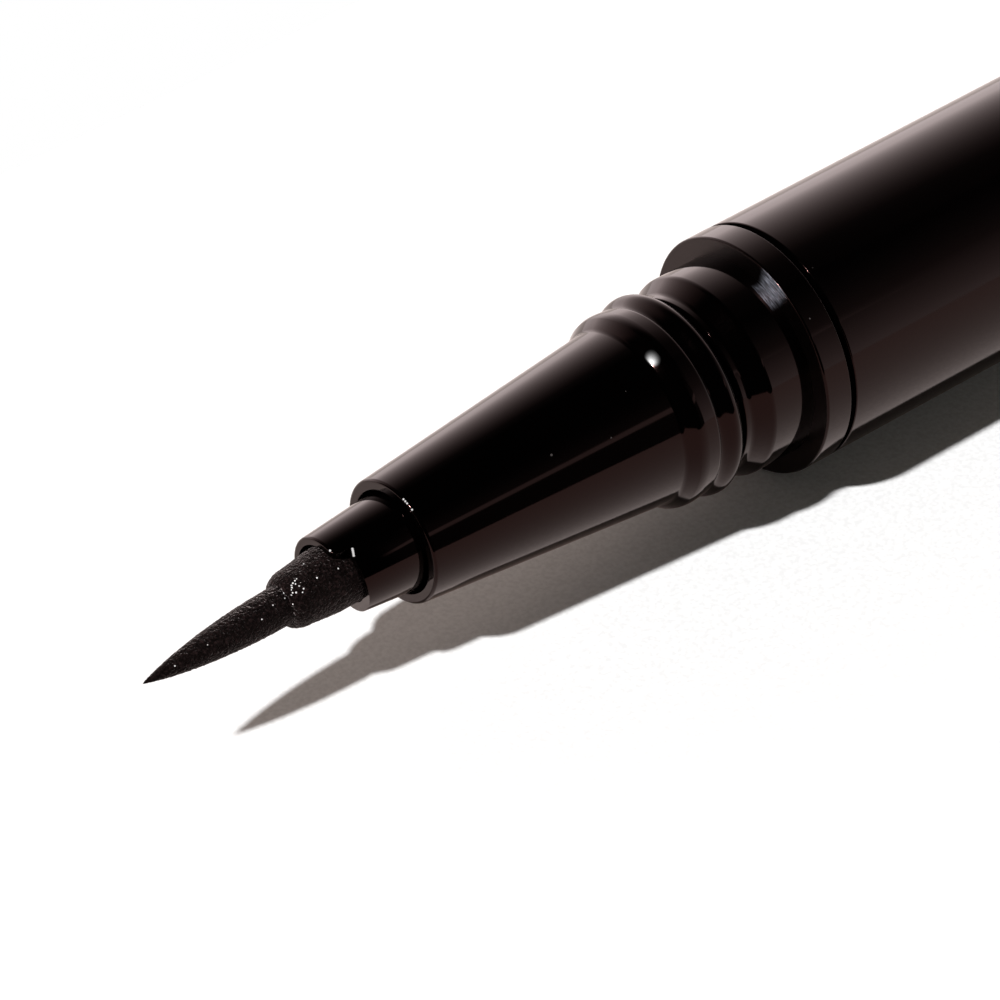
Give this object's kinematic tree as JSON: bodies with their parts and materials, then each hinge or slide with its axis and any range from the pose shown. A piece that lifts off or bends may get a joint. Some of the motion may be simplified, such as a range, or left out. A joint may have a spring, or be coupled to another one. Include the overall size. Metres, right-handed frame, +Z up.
{
  "type": "liquid eyeliner pen",
  "caption": "Slim glossy liquid eyeliner pen lying uncapped, with a felt nib in a holder with a one-sided lip, a long cone, and its cap in line in front.",
  "frame": {"origin": "centre of the pen's flat tail end", "axes": "+X along the pen's axis towards the nib, +Z up from the surface that the pen lies on, +Y to the left seen from the tail"},
  "size_m": [0.1991, 0.0104, 0.0104],
  "materials": {
    "barrel_black": "polished black moulding with a red-brown tint",
    "section_black": "polished black moulding",
    "holder_black": "gloss, a little softer than the barrel",
    "cap_black": "polished black moulding",
    "felt_black": "dense felt soaked with black-brown liquid, wet specks",
    "feed_fibre": "bonded fibre rod soaked with liquid",
    "collector_plastic": "milky moulding",
    "seat_plastic": "milky moulding",
    "inner_cap_plastic": "milky soft moulding",
    "seal_rubber": "smooth black rubber",
    "ball_steel": "polished steel",
    "spring_steel": "drawn wire"
  },
  "bodies": {
    "pen": {"barrel": "barrel_black", "tail_plug": "barrel_black", "tail_seal": "seal_rubber", "front_section": "section_black", "front_seal": "seal_rubber", "collector": "collector_plastic", "ball_seat": "seat_plastic", "feed_rod": "feed_fibre", "nib_holder": "holder_black", "nib": "felt_black"},
    "mixing_ball": {"mixing_ball": "ball_steel"},
    "cap": {"cap_shell": "cap_black", "cap_spring": "spring_steel"},
    "inner_cap": {"inner_cap": "inner_cap_plastic"}
  },
  "joints": [
    {"name": "cap_slide", "type": "slide", "parent": "pen", "child": "cap", "axis": [1, 0, 0], "range_m": [-0.06113, 0]},
    {"name": "inner_cap_slide", "type": "slide", "parent": "cap", "child": "inner_cap", "axis": [1, 0, 0], "range_m": [0, 0.0012], "stiffness_N_per_m": 300, "springref_m": -0.0015, "deforming": ["cap_spring"]},
    {"name": "ball_travel", "type": "slide", "parent": "pen", "child": "mixing_ball", "axis": [1, 0, 0], "range_m": [-0.0264, 0.0264]}
  ]
}
